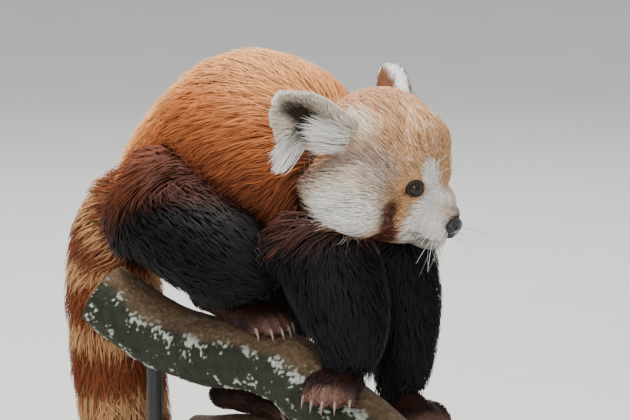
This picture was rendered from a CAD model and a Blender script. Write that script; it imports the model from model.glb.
"""The looks of a life-size red panda model: skin, coat, eyes, nose, claws, whiskers, bark and display stand.

Shapes are worked out in millimetres in the maker's own frame, in which +X runs forward along the animal, +Y to
its left and +Z up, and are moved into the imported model's frame, in metres, when they are made into pieces."""

import math

import bmesh
import bpy
import numpy as np
from mathutils import Matrix, Vector, noise
from mathutils.bvhtree import BVHTree
from mathutils.kdtree import KDTree


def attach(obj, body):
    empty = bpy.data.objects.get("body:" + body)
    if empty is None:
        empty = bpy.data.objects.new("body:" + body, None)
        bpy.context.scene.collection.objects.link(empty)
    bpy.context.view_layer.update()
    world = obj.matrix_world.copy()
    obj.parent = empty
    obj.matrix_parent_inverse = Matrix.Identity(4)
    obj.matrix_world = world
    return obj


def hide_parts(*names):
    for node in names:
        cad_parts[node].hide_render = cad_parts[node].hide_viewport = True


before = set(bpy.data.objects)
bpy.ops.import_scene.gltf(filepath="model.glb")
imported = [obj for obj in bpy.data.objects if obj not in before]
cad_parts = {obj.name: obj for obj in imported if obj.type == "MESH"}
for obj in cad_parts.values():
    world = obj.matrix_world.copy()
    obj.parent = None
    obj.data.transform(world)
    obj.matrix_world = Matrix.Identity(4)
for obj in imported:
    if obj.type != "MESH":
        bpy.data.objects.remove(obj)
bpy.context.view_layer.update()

MM = 0.001
ORIGIN = np.array((26.47, -2.0, 0.0))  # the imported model's origin in the maker's frame

# The coat's depth over the skin, by part of the body.
COAT = {"torso": 20.0, "tail": 22.0, "leg": 13.0, "skull": 6.5, "face": 1.6, "foot": 1.5}
LEAST_LIMB = 8.0  # no limb under the coat is thinner than this radius

# Stations along the body: x, y, z and the radius out to the tips of the coat.
SPINE = [
    (-90, 3, 318, 46),
    (-68, 2, 329, 60),
    (-46, 2, 346, 68),
    (-20, 1, 365, 73),
    (11, 0, 382, 76),
    (46, 0, 371, 75),
    (74, 1, 361, 69),
    (92, 1, 360, 67),
]
NECK = [(80, 1, 364, 65), (100, 3, 366, 61), (114, 4, 364, 57)]
TAIL = [
    (-82, 3, 322, 34),
    (-110, 6, 322, 39),
    (-134, 11, 298, 42),
    (-146, 16, 254, 43),
    (-145, 18, 202, 43),
    (-138, 19, 148, 41),
    (-124, 17, 102, 37),
    (-108, 13, 72, 30),
]
LEGS = {
    "fore_right": [
        (98, -38, 328, 46), (124, -44, 290, 42), (136, -46, 260, 35), (134, -45, 240, 27), (130, -44, 226, 22),
    ],
    "fore_left": [(92, 42, 326, 44), (110, 46, 286, 38), (118, 44, 248, 34), (120, 40, 214, 28), (119, 38, 192, 21)],
    "hind_right": [(-40, -38, 340, 58), (6, -54, 318, 51), (44, -58, 304, 41), (26, -56, 288, 33), (2, -52, 277, 22)],
    "hind_left": [(-44, 38, 338, 56), (-12, 50, 298, 48), (8, 54, 258, 36), (-24, 52, 216, 28), (-52, 48, 182, 21)],
}
TORSO_MASSES = [((-70, 3, 322), (46, 58, 58)), ((18, 0, 350), (84, 62, 60)), ((84, 1, 336), (42, 54, 56))]

# The head has a frame of its own, turned and nodded on the neck, with the nose along +X.
HEAD_AT, HEAD_YAW, HEAD_NOD = (131, 5, 368), 9.5, 20.0
SKULL_MASSES = [((-12, 0, 17), (48, 55, 48)), ((-4, 34, -10), (40, 37, 36)), ((-4, -34, -10), (40, 37, 36))]
FACE_MASSES = [
    ((10, 0, 15), (36, 38, 35)),
    ((8, 0, -18), (42, 34, 27)),
    ((38, 0, -9), (30, 20, 17)),
    ((32, 0, 4), (29, 13, 13)),
    ((24, 0, 17), (24, 25, 18)),
    ((16, 0, 34), (24, 26, 24)),
    ((52, 8, -17), (15, 12, 10)),
    ((52, -8, -17), (15, 12, 10)),
    ((44, 0, -27), (18, 13, 11)),
]
EYE_AT, EYE_RADIUS, EYE_OUT, EYE_UP = (33.0, 21.6, 9.2), 7.0, 38.0, 8.0
EYE_OPENING = (5.7, 4.9)  # half its width and half its height, along the front of the ball
NOSE_AT, NOSE_SIZE = (62.5, 0, -11.0), (7.0, 9.0, 7.5)
MOUTH = [(67, 0, -21), (62, 8, -24.5), (52, 13, -26.5), (40, 18, -25)]
MOUTH_LINE = []  # the mouth's line once it is laid on the skin

# Each ear: where its base is centred, the way it points, the way its cup opens, its length and width.
EARS = {
    "ear_right": ((-21, -46, 34), (-0.80, -0.58, 0.12), (0.42, -0.84, 0.20), 58, 47),
    "ear_left": ((-21, 46, 34), (-0.72, 0.60, 0.18), (0.42, 0.84, 0.20), 58, 47),
}
# The outline of an ear, from its base to its tip: distance along it, half its width, and how far its middle line
# bends down.
EAR_OUTLINE = [
    (-12, 11, 3), (0, 13.5, 3), (12, 15.5, 2.5), (24, 19, 2.5),
    (36, 21.5, 4.5), (46, 18.5, 4.5), (54, 12.5, 2), (62, 3, -2),
]

# Feet: the middle of the sole, the way the toes point, length and width.
FEET = {
    "fore_right": ((129, -45, 217), (0.25, -0.94, -0.20), 52, 38),
    "fore_left": ((127, 37, 179), (0.92, -0.34, -0.10), 52, 38),
    "hind_right": ((27, -48, 258), (0.98, -0.16, -0.08), 88, 36),
    "hind_left": ((-28, 45, 162), (0.99, -0.06, 0.06), 88, 36),
}
TOES, TOE_RADIUS, TOE_LENGTH = 5, 6.2, 20
CLAW_LENGTH, CLAW_RADIUS = 13, 2.1

# The perch: x, y, z of each limb's middle line and its radius.
LIMB_NEAR = [
    (-92, -58, 262, 26),
    (-62, -50, 243, 27),
    (-31, -46, 232, 27),
    (7, -45, 227, 27),
    (40, -45, 229, 27),
    (79, -44, 222, 27),
    (107, -42, 205, 28),
    (136, -36, 185, 29),
    (172, -20, 152, 31),
    (224, -6, 118, 32),
]
LIMB_FAR = [
    (178, -14, 150, 26),
    (160, 8, 151, 26),
    (134, 34, 151, 25),
    (62, 46, 142, 24),
    (-26, 46, 134, 24),
    (-84, 45, 126, 23),
]
KNOBS = [((2, -64, 240), 10), ((96, -64, 212), 9), ((64, -32, 242), 8)]

# The coat's colours, as they look in print.
GOLD = (226, 158, 96)
ORANGE = (176, 98, 46)
RUST = (112, 54, 24)
DEEP_RUST = (72, 33, 16)
MAROON = (38, 17, 13)
BLACK = (9, 9, 12)
WHITE = (246, 242, 236)
CREAM = (216, 198, 172)
TAN = (218, 166, 116)
BROWN = (116, 72, 44)
GREY = (164, 150, 142)
CHIN_GREY = (128, 122, 114)
TEAR_BROWN = (84, 38, 14)
CUP_DARK = (44, 34, 24)
FOOT_BROWN = (58, 34, 26)
TOE_PINK = (128, 92, 80)
LIP_DARK = (58, 46, 42)
BUFF = (196, 148, 100)


def linear(colour):
    """A printed colour, 0 to 255, as the linear light that Blender's colours are in."""
    share = np.asarray(colour, float) / 255
    return np.where(share <= 0.04045, share / 12.92, ((share + 0.055) / 1.055) ** 2.4)


def step(low, high, value):
    """Rises smoothly from 0 at low to 1 at high."""
    t = np.clip((value - low) / (high - low), 0, 1)
    return t * t * (3 - 2 * t)


def unit(vectors):
    """Vectors drawn out or in to a length of 1."""
    return vectors / np.maximum(np.linalg.norm(vectors, axis=-1, keepdims=True), 1e-9)


def metres(points):
    """Points in millimetres of the maker's frame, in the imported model's frame and in metres."""
    return (np.asarray(points, float) - ORIGIN) * MM


def aimed(at, along, up):
    """A matrix whose +X runs along a direction and whose +Z leans to another, at a point in millimetres."""
    x = Vector(along).normalized()
    y = Vector(up).cross(x).normalized()
    z = x.cross(y)
    turn = Matrix((x, y, z)).transposed().to_4x4()
    return Matrix.Translation(Vector(at)) @ turn


HEAD = Matrix.Translation(Vector(HEAD_AT)) @ (
    Matrix.Rotation(math.radians(HEAD_YAW), 4, "Z") @ Matrix.Rotation(math.radians(HEAD_NOD), 4, "Y")
)


def eye_frame(side):
    """The frame of an eye: +X looks out through the lids and +Z is up."""
    x, y, z = EYE_AT
    out, up = math.radians(EYE_OUT) * side, math.radians(EYE_UP)
    look = (math.cos(out) * math.cos(up), math.sin(out) * math.cos(up), math.sin(up))
    return HEAD @ aimed((x, y * side, z), look, (0, 0, 1))


def ear_frame(name):
    """The frame of an ear: +X runs to its tip and +Z out of its cup."""
    at, along, opening, _, _ = EARS[name]
    return HEAD @ aimed(at, along, opening)


def foot_frame(name):
    """The frame of a foot: +X runs to its toes and +Z is up."""
    at, along, _, _ = FEET[name]
    return aimed(at, along, (0, 0, 1))


def inside(place, points):
    """The points as seen in the frame of a matrix."""
    turn = np.array(place.inverted())
    return points @ turn[:3, :3].T + turn[:3, 3]


def outside(place, points):
    """Points of a matrix's frame, back in the maker's frame."""
    turn = np.array(place)
    return np.asarray(points, float) @ turn[:3, :3].T + turn[:3, 3]


def smooth_line(stations, steps):
    """Points on a smooth curve through the stations, with any further values carried along."""
    rows = np.array([stations[0], *stations, stations[-1]], float)
    t = (np.arange(steps) / steps)[:, None]
    parts = []
    for a, b, c, d in zip(rows, rows[1:], rows[2:], rows[3:]):
        parts.append(0.5 * (2 * b + (c - a) * t + (2 * a - 5 * b + 4 * c - d) * t**2 + (3 * b - a - 3 * c + d) * t**3))
    return np.vstack([*parts, rows[-1:]])


def side_vectors(line):
    """For each point of a line, two directions square to it that turn as little as they can."""
    along = unit(np.gradient(line, axis=0))
    side = np.empty_like(along)
    start = np.cross(along[0], (0.0, 0.0, 1.0))
    if np.linalg.norm(start) < 0.1:
        start = np.cross(along[0], (0.0, 1.0, 0.0))
    side[0] = unit(start)
    for i in range(1, len(line)):
        side[i] = unit(side[i - 1] - along[i] * np.dot(side[i - 1], along[i]))
    return side, np.cross(side, along)


def tube_shape(line, radii, around):
    """Corners and faces of a closed tube round a line."""
    side, up = side_vectors(line)
    angle = np.arange(around) * 2 * math.pi / around
    ring = np.cos(angle)[None, :, None] * side[:, None] + np.sin(angle)[None, :, None] * up[:, None]
    points = (line[:, None] + ring * np.asarray(radii, float)[:, None, None]).reshape(-1, 3)
    faces = []
    for i in range(len(line) - 1):
        for k in range(around):
            here, there = i * around + k, i * around + (k + 1) % around
            faces.append((here, there, there + around, here + around))
    last = (len(line) - 1) * around
    faces.append(tuple(range(around))[::-1])
    faces.append(tuple(range(last, last + around)))
    return points, faces


def ball_shape(centre, sizes, place=Matrix.Identity(4), across=32, down=20):
    """Corners and faces of an ellipsoid that lies square in the frame of a matrix."""
    bm = bmesh.new()
    shape = place @ Matrix.Translation(Vector(centre)) @ Matrix.Diagonal(Vector(sizes)).to_4x4()
    bmesh.ops.create_uvsphere(bm, u_segments=across, v_segments=down, radius=1, matrix=shape)
    points = np.array([v.co[:] for v in bm.verts])
    faces = [tuple(v.index for v in f.verts) for f in bm.faces]
    bm.free()
    return points, faces


def joined(shapes):
    """Several shapes as one set of corners and faces."""
    points, faces, count = [], [], 0
    for more, corners in shapes:
        points.append(more)
        faces += [tuple(i + count for i in face) for face in corners]
        count += len(more)
    return np.vstack(points), faces


def plain_mesh(name, points, faces):
    """A mesh from corners and faces."""
    mesh = bpy.data.meshes.new(name)
    mesh.from_pydata(np.asarray(points, float).tolist(), [], faces)
    mesh.update()
    return mesh


def placed(name, data):
    """An object put into the scene."""
    obj = bpy.data.objects.new(name, data)
    bpy.context.scene.collection.objects.link(obj)
    return obj


def settled(obj):
    """The object's mesh with its modifiers applied; the object itself is removed."""
    bpy.context.view_layer.update()
    graph = bpy.context.evaluated_depsgraph_get()
    mesh = bpy.data.meshes.new_from_object(obj.evaluated_get(graph))
    old = obj.data
    bpy.data.objects.remove(obj)
    bpy.data.meshes.remove(old)
    return mesh


def melted(name, shapes, voxel, softness):
    """Crossing shapes melted into one smooth closed skin, as a mesh in millimetres."""
    obj = placed(name, plain_mesh(name, *joined(shapes)))
    melt = obj.modifiers.new("melt", "REMESH")
    melt.mode = "VOXEL"
    melt.voxel_size = voxel
    soften = obj.modifiers.new("soften", "SMOOTH")
    soften.factor = 0.5
    soften.iterations = softness
    return settled(obj)


def arrays_of(mesh):
    """A mesh's corners and its faces split into triangles."""
    points = np.empty(len(mesh.vertices) * 3)
    mesh.vertices.foreach_get("co", points)
    mesh.calc_loop_triangles()
    corners = np.empty(len(mesh.loop_triangles) * 3, int)
    mesh.loop_triangles.foreach_get("vertices", corners)
    return points.reshape(-1, 3), corners.reshape(-1, 3)


class Ground:
    """A surface that hair grows on: its corners, triangles and normals, and where its nearest point lies."""

    def __init__(self, points, triangles):
        self.points, self.triangles = points, triangles
        a, b, c = (points[triangles[:, i]] for i in range(3))
        cross = np.cross(b - a, c - a)
        self.areas = np.linalg.norm(cross, axis=1) / 2
        normals = np.zeros_like(points)
        for i in range(3):
            np.add.at(normals, triangles[:, i], cross)
        self.normals = unit(normals)
        self.tree = BVHTree.FromPolygons(points.tolist(), triangles.tolist())
        edges = np.vstack([triangles[:, [0, 1]], triangles[:, [1, 2]], triangles[:, [2, 0]]])
        self.edges = np.unique(np.sort(edges, axis=1), axis=0)

    def evened(self, values, turns):
        """Values at the corners, each averaged with its neighbours several times over."""
        a, b = self.edges.T
        count = np.bincount(self.edges.ravel(), minlength=len(self.points)).astype(float)
        shape = (-1, *[1] * (values.ndim - 1))
        for _ in range(turns):
            total = np.zeros_like(values)
            np.add.at(total, a, values[b])
            np.add.at(total, b, values[a])
            values = 0.5 * values + 0.5 * total / np.maximum(count, 1).reshape(shape)
        return values

    def nearest(self, points):
        """The nearest places of the surface, and the smooth normals there."""
        spots = np.empty_like(points)
        found = np.empty(len(points), int)
        for i, point in enumerate(points.tolist()):
            place, _, index, _ = self.tree.find_nearest(point)
            spots[i] = place
            found[i] = index
        corners = self.triangles[found]
        weights = barycentric(spots, *(self.points[corners[:, i]] for i in range(3)))
        return spots, unit((self.normals[corners] * weights[:, :, None]).sum(axis=1))


def barycentric(points, a, b, c):
    """How much each corner of a triangle weighs at points on it."""
    v0, v1, v2 = b - a, c - a, points - a
    d00, d01, d11 = (v0 * v0).sum(1), (v0 * v1).sum(1), (v1 * v1).sum(1)
    d20, d21 = (v2 * v0).sum(1), (v2 * v1).sum(1)
    scale = np.maximum(d00 * d11 - d01 * d01, 1e-12)
    v = (d11 * d20 - d01 * d21) / scale
    w = (d00 * d21 - d01 * d20) / scale
    return np.clip(np.stack([1 - v - w, v, w], axis=1), 0, 1)


def along_route(points, stations):
    """How far along a route each point lies, its distance in radii, the way the route runs there and its angle."""
    rows = np.array(stations, float)
    best = np.full(len(points), 1e9)
    share = np.zeros(len(points))
    way = np.zeros_like(points)
    spoke = np.zeros_like(points)
    for i in range(len(rows) - 1):
        a, b = rows[i, :3], rows[i + 1, :3]
        t = np.clip((points - a) @ (b - a) / ((b - a) @ (b - a)), 0, 1)
        radius = rows[i, 3] + (rows[i + 1, 3] - rows[i, 3]) * t
        off = points - a - (b - a) * t[:, None]
        apart = np.linalg.norm(off, axis=1) / radius
        nearer = apart < best
        best[nearer] = apart[nearer]
        share[nearer] = (i + t[nearer]) / (len(rows) - 1)
        way[nearer] = unit(b - a)
        spoke[nearer] = off[nearer]
    side = unit(np.cross(way, (0.0, 1.0, 0.0)))
    other = np.cross(way, side)
    angle = np.arctan2((spoke * side).sum(1), (spoke * other).sum(1)) / (2 * math.pi) + 0.5
    return share, best, way, angle


def within(points, masses, drawn_in, place):
    """How many radii each point lies from the middle of the nearest mass: 1 on its surface."""
    own = inside(place, points)
    best = np.full(len(points), 1e9)
    for centre, sizes in masses:
        best = np.minimum(best, np.linalg.norm((own - centre) / (np.array(sizes, float) - drawn_in), axis=1))
    return best


def soft_noise(points, size, seed):
    """Smooth noise from -1 to 1, with bumps of about that size in millimetres."""
    shift = Vector((seed * 17.3, seed * 5.1, seed * 9.7))
    return np.array([noise.noise(Vector(p) / size + shift) for p in points.tolist()])


# Markings: the colour of the coat at a place, from where that place lies on the body.


def mixed(base, colour, share):
    """The colours with another laid over them by a share from 0 to 1."""
    return base + (linear(colour) - base) * np.clip(share, 0, 1)[:, None]


def ramp(value, stops):
    """Colours along a ramp of places and colours."""
    places = [place for place, _ in stops]
    colours = np.array([linear(colour) for _, colour in stops])
    return np.stack([np.interp(value, places, colours[:, i]) for i in range(3)], axis=1)


BACK_STOPS = [
    (-0.05, BLACK),
    (0.02, MAROON),
    (0.20, DEEP_RUST),
    (0.46, RUST),
    (0.74, ORANGE),
    (0.97, GOLD),
]
BLACK_EDGE = [(-160, 318), (-90, 322), (-30, 338), (20, 342), (60, 336), (105, 330), (140, 324)]  # x, height
TAIL_RINGS = 6.5


def body_marks(points, wander):
    """Torso and neck: gold along the back, rust on the flanks, and black below an edge that runs along the body."""
    x, z = points[:, 0], points[:, 2]
    edge = np.interp(x, *zip(*BLACK_EDGE)) + 7 * wander
    rows = np.array(SPINE + NECK[-1:], float)
    top = np.interp(x, rows[:, 0], rows[:, 2] + rows[:, 3] - COAT["torso"] * 0.5)
    return ramp((z - edge) / np.maximum(top - edge, 20), BACK_STOPS)


def tail_marks(share, wander):
    """The tail's rust and buff rings, darker to the tip."""
    wave = np.sin(2 * math.pi * (share * TAIL_RINGS + 0.15 + 0.05 * wander))
    colours = np.tile(linear(RUST), (len(share), 1))
    colours = mixed(colours, BUFF, 0.85 * step(0.15, 0.75, wave))
    return mixed(colours, MAROON, step(0.90, 0.99, share))


def blob(own, centre, sizes, soft=0.35):
    """A soft-edged patch in a frame: 1 inside an ellipsoid, falling to 0 outside it."""
    apart = np.linalg.norm((own - centre) / sizes, axis=1)
    return 1 - step(1 - soft, 1 + soft, apart)


def strip(own, line, radius, soft):
    """A soft-edged stripe along a line of points in a frame."""
    best = np.full(len(own), 1e9)
    for a, b in zip(line, line[1:]):
        a, b = np.array(a, float), np.array(b, float)
        t = np.clip((own - a) @ (b - a) / ((b - a) @ (b - a)), 0, 1)
        best = np.minimum(best, np.linalg.norm(own - a - (b - a) * t[:, None], axis=1))
    return 1 - step(radius - soft, radius + soft, best)


TEAR_LINE = [(31, 38, -9), (31, 32, -20), (29, 20, -36), (14, 16, -46)]


def head_marks(points, wander, streak):
    """The face: tan crown, white brows, cheeks and muzzle, and a dark stripe from each eye down to the throat."""
    own = inside(HEAD, points)
    own[:, 1] = np.abs(own[:, 1])
    x, y, z = own.T
    jitter = 2.5 * wander
    colours = np.tile(linear(TAN), (len(own), 1))
    muzzle = step(37, 43, x - 0.12 * z) * step(14, 7, z - 0.1 * x)
    patches = [  # colour and share, each laid over those above it
        (BROWN, 0.75 * step(-0.05, 0.55, streak)),
        (WHITE, 0.3 * step(0.15, 0.6, -streak)),
        (ORANGE, 0.45 * step(4, -22, x + jitter) * step(24, 40, z)),
        (DEEP_RUST, step(2, -12, x + jitter) * step(22, -2, z)),
        (CREAM, 0.9 * blob(own, (-12, 44, 42), (17, 14, 14))),
        (GREY, 0.75 * blob(own, (8, 46, 14), (24, 24, 14), 0.5)),
        (CREAM, blob(own, (8, 56, -10), (20, 30, 22), 0.4)),
        (WHITE, blob(own, (11, 56, -16), (16, 30, 18), 0.3)),
        (BROWN, 0.5 * step(0.3, 0.8, streak) * blob(own, (8, 54, -6), (24, 30, 26), 0.5)),
        (DEEP_RUST, step(-28, -37, z + 0.5 * jitter) * step(34, 22, x)),
        (WHITE, blob(own, (41, 14.5, 20), (12, 6.5, 9.5), 0.35)),
        (WHITE, 0.95 * muzzle),
        (TAN, 0.75 * step(7, 3, y) * step(26, 34, x) * step(4, 12, z)),
        (TAN, blob(own, (35, 28, 5), (13, 12, 14), 0.35)),
        (BROWN, 0.9 * blob(own, (38, 25, 8), (9, 9.5, 9), 0.25)),
        (BLACK, step(-44, -52, z + jitter) * step(28, 10, x)),
        (TEAR_BROWN, strip(own, TEAR_LINE, 8.0, 2.5)),
        (CHIN_GREY, 0.8 * blob(own, (50, 7, -34), (19, 14, 7.5), 0.4)),
        (LIP_DARK, strip(own, MOUTH_LINE, 2.0, 0.8)),
        (BUFF, 0.55 * blob(own, (58, 4, -2), (9, 8, 6), 0.5)),
        (LIP_DARK, blob(own, NOSE_AT, (9.5, 10.5, 9), 0.12)),
    ]
    for colour, share in patches:
        colours = mixed(colours, colour, share)
    return colours


def ear_edge(own, down):
    """How near the outline each place of an ear lies: 0 along its middle line, 1 at its edge."""
    along, half, bend = zip(*EAR_OUTLINE)
    middle = np.interp(own[:, 0], along, bend)
    side = np.abs(own[:, 1] * down - middle) / np.interp(own[:, 0], along, half)
    tip = step(0.62, 1.0, own[:, 0] / EAR_OUTLINE[-1][0])
    return np.maximum(side, tip)


def ear_marks(name, points, normals):
    """White at the rim, dark in the upper cup, cream below it, and brown on the back."""
    place = ear_frame(name)
    own = inside(place, points)
    down = 1 if name == "ear_right" else -1
    edge = ear_edge(own, down)
    own[:, 1] *= down
    front = step(-0.1, 0.25, normals @ np.array(place)[:3, 2])
    colours = np.tile(linear(WHITE), (len(own), 1))
    colours = mixed(colours, BROWN, (1 - front) * step(0.74, 0.5, edge))
    colours = mixed(colours, CREAM, 0.9 * front * step(0.92, 0.7, edge))
    own[:, 2] = 0
    dark = np.maximum(blob(own, (34, 0, 0), (17, 8.0, 1), 0.45), blob(own, (29, 9, 0), (7, 9, 1), 0.5))
    return mixed(colours, CUP_DARK, front * dark)


def foot_marks(points, wander, toes):
    """Dark brown feet with paler, pinkish toes."""
    colours = np.tile(linear(FOOT_BROWN), (len(points), 1))
    colours = mixed(colours, BLACK, 0.6 * step(-0.2, 0.5, wander))
    return mixed(colours, TOE_PINK, 0.85 * toes)


# Skin


def foot_shapes(name):
    """The sole, the arch and five toes of a foot, in the maker's frame."""
    _, _, length, width = FEET[name]
    place = foot_frame(name)
    thin = COAT["foot"]
    pads = [
        ((0, 0, 8), (length * 0.36, width * 0.44, 12)),
        ((length * 0.20, 0, 6), (length * 0.26, width * 0.50, 11)),
        ((-length * 0.30, 0, 9), (length * 0.20, width * 0.40, 12)),
    ]
    shapes = [ball_shape(centre, np.array(sizes) - thin, place) for centre, sizes in pads]
    for start, reach, y in toe_places(name):
        toe = [
            (start - 6, y * 0.85, 7, TOE_RADIUS),
            (start + reach * 0.5, y, 7, TOE_RADIUS * 1.05),
            (start + reach, y * 1.08, 2, TOE_RADIUS * 0.85),
            (start + reach + 3, y * 1.10, -2, TOE_RADIUS * 0.45),
        ]
        line = smooth_line(toe, 5)
        shapes.append(tube_shape(outside(place, line[:, :3]), line[:, 3] - thin * 0.6, 14))
    return shapes


def toe_places(name):
    """Where each toe starts, how far it reaches and how far it lies to the side, in the foot's frame."""
    _, _, length, width = FEET[name]
    places = []
    for i in range(TOES):
        across = (i - (TOES - 1) / 2) / ((TOES - 1) / 2)
        start = length * (0.34 if name.startswith("hind") else 0.26) - 5 * across * across
        places.append((start, TOE_LENGTH * (1 - 0.16 * across * across), across * width * 0.44))
    return places


def limb_shape(stations, coat, around=28, steps=6):
    """A tube along the stations, drawn in by the depth of the coat."""
    line = smooth_line(stations, steps)
    return tube_shape(line[:, :3], np.maximum(line[:, 3] - coat, LEAST_LIMB), around)


def skin_shapes():
    """Everything that melts into the one skin: body, tail, legs, feet, skull and face."""
    shapes = [limb_shape(SPINE, COAT["torso"]), limb_shape(NECK, COAT["torso"]), limb_shape(TAIL, COAT["tail"])]
    shapes += [limb_shape(stations, COAT["leg"]) for stations in LEGS.values()]
    shapes += [ball_shape(centre, np.array(sizes) - COAT["torso"]) for centre, sizes in TORSO_MASSES]
    for name in FEET:
        shapes += foot_shapes(name)
    shapes += [ball_shape(centre, np.array(sizes) - COAT["skull"], HEAD) for centre, sizes in SKULL_MASSES]
    shapes += [ball_shape(centre, np.array(sizes) - COAT["face"], HEAD) for centre, sizes in FACE_MASSES]
    return shapes


def shape_face(points):
    """Sinks the eyes' sockets, the mouth's line and the nose's groove into the skin, in place."""
    own = inside(HEAD, points)
    side = np.sign(own[:, 1])
    own[:, 1] = np.abs(own[:, 1])
    out = unit(own - np.array((0.0, 0.0, -4.0)))
    eye = np.array(EYE_AT)
    socket = np.exp(-(((own - eye) ** 2).sum(1)) / 11.0**2)
    own -= out * (1.2 * socket)[:, None]
    groove = strip(own, MOUTH_LINE, 1.5, 1.2)
    own -= out * (2.2 * groove)[:, None]
    own[:, 1] *= np.where(side == 0, 1, side)
    points[:] = outside(HEAD, own)


def head_share(points):
    """1 on the head, 0 off it."""
    skull = within(points, SKULL_MASSES, COAT["skull"], HEAD)
    face = within(points, FACE_MASSES, COAT["face"], HEAD)
    return step(1.14, 1.05, np.minimum(skull, face))


def foot_share(points, name):
    """1 on a foot, 0 off it."""
    _, _, length, width = FEET[name]
    own = inside(foot_frame(name), points)
    return step(1.25, 1.0, np.linalg.norm((own - (length * 0.14, 0, 6)) / (length * 0.72, width * 0.68, 16), axis=1))


def survey(ground):
    """For each corner of the skin: shares of head, feet and toes, its part of the body, and the lie of the coat."""
    points, normals = ground.points, ground.normals
    routes = [("torso", SPINE[::-1]), ("torso", NECK[::-1]), ("tail", TAIL)]
    routes += [("leg", stations[1:]) for stations in LEGS.values()]
    best = np.full(len(points), 1e9)
    part = np.zeros(len(points), int)
    lie = np.zeros_like(points)
    tail_along = np.zeros(len(points))
    for kind, stations in routes:
        share, apart, way, _ = along_route(points, stations)
        if kind == "torso":
            way = way + np.stack([0 * share, 0 * share, -0.9 * np.abs(normals[:, 1])], axis=1)
        if kind == "tail":
            tail_along = share
        nearer = apart < best
        best[nearer] = apart[nearer]
        part[nearer] = {"torso": 0, "tail": 1, "leg": 2}[kind]
        lie[nearer] = unit(way)[nearer]
    head = head_share(points)
    own = inside(HEAD, points)
    from_nose = own - (62, 0, -6)
    from_nose[:, 2] -= 14 * step(18, 44, np.abs(own[:, 1])) * step(20, -10, own[:, 2])
    head_way = unit(from_nose) @ np.array(HEAD)[:3, :3].T
    lie = lie * (1 - head)[:, None] + head_way * head[:, None]
    feet, toes = np.zeros(len(points)), np.zeros(len(points))
    for name in FEET:
        share = foot_share(points, name)
        feet = np.maximum(feet, share)
        ahead = inside(foot_frame(name), points)[:, 0] / FEET[name][2]
        toes = np.maximum(toes, share * step(0.42, 0.58, ahead))
        lie = lie * (1 - share)[:, None] + np.array(foot_frame(name))[:3, 0] * share[:, None]
    lie = ground.evened(lie, 12)
    lie = unit(lie - normals * (lie * normals).sum(1, keepdims=True))
    kinds = ground.evened(np.stack([(part == k).astype(float) for k in range(3)], axis=1), 10)
    return {"head": head, "feet": feet, "toes": toes, "kinds": kinds, "lie": lie, "tail": tail_along}


def marked(points, share):
    """The coat's colour at places whose shares of each part of the body are given."""
    wander = soft_noise(points, 14, 1) + 0.5 * soft_noise(points, 5, 2)
    streak = soft_noise(inside(HEAD, points) * np.array((0.30, 1.0, 1.0)), 2.2, 3)
    head, feet, kinds = share["head"][:, None], share["feet"][:, None], share["kinds"]
    colours = body_marks(points, wander) * kinds[:, :1]
    colours += tail_marks(share["tail"], wander) * kinds[:, 1:2]
    colours += leg_marks(points, wander) * kinds[:, 2:3]
    colours = colours * (1 - head) + head_marks(points, wander, streak) * head
    return colours * (1 - feet) + foot_marks(points, wander, share["toes"]) * feet


def leg_marks(points, wander):
    """The legs are black up to the edge where the flanks' rust begins."""
    colours = body_marks(points, wander)
    return mixed(colours, BLACK, step(350, 338, points[:, 2] + 6 * wander))


# Tufts


def sizes_at(ground, found):
    """Length, width, height and spacing of the tufts at each corner of the skin."""
    points, normals = ground.points, ground.normals
    own = inside(HEAD, points)
    x, y, z = own[:, 0], np.abs(own[:, 1]), own[:, 2]
    table = {  # length, width, height, area that one tuft covers
        "torso": (36, 1.35, 17, 3.1),
        "tail": (40, 1.5, 19, 3.0),
        "leg": (22, 1.3, 9.5, 4.2),
        "belly": (20, 1.4, 8, 5.0),
        "crown": (12, 0.85, 5.0, 1.55),
        "ruff": (24, 0.95, 6.5, 1.35),
        "face": (6.5, 0.65, 2.2, 0.95),
        "muzzle": (4.6, 0.5, 1.4, 0.75),
        "foot": (6.5, 0.9, 1.9, 2.3),
    }
    table = {name: np.array(row, float) for name, row in table.items()}
    kinds = found["kinds"]
    sizes = kinds[:, :1] * table["torso"] + kinds[:, 1:2] * table["tail"] + kinds[:, 2:3] * table["leg"]
    belly = (step(-0.45, -0.8, normals[:, 2]) * kinds[:, 0])[:, None]
    sizes = sizes * (1 - belly) + table["belly"] * belly
    face = (step(10, 30, x))[:, None]
    muzzle = (step(38, 54, x))[:, None]
    ruff = (step(24, 42, y) * step(18, -2, z) * step(26, 10, x) * step(-36, -24, z))[:, None]
    over = table["crown"] * (1 - ruff) + table["ruff"] * ruff
    over = over * (1 - face) + table["face"] * face
    over = over * (1 - muzzle) + table["muzzle"] * muzzle
    head = found["head"][:, None]
    sizes = sizes * (1 - head) + over * head
    feet = found["feet"][:, None]
    sizes = sizes * (1 - feet) + table["foot"] * feet
    found["hold"] = ground.evened(1 - 0.75 * ruff[:, 0] * found["head"], 4)
    return ground.evened(sizes, 4)


def scattered(ground, spacing, rng, keep=None):
    """Random places on the ground, one for each stretch of the area given at its corners: triangle and weights."""
    triangles = ground.triangles
    want = ground.areas / spacing[triangles].mean(axis=1)
    if keep is not None:
        want = want * keep[triangles].mean(axis=1)
    total = np.cumsum(want)
    count = int(total[-1])
    picks = np.searchsorted(total, (np.arange(count) + rng.random(count)) * (total[-1] / count))
    picks = np.clip(picks, 0, len(triangles) - 1)
    u, v = rng.random(count), rng.random(count)
    over = u + v > 1
    u[over], v[over] = 1 - u[over], 1 - v[over]
    return triangles[picks], np.stack([1 - u - v, u, v], axis=1)


def at(values, corners, weights):
    """Corner values carried to places inside the triangles."""
    if values.ndim == 1:
        return (values[corners] * weights).sum(axis=1)
    return (values[corners] * weights[:, :, None]).sum(axis=1)


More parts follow.
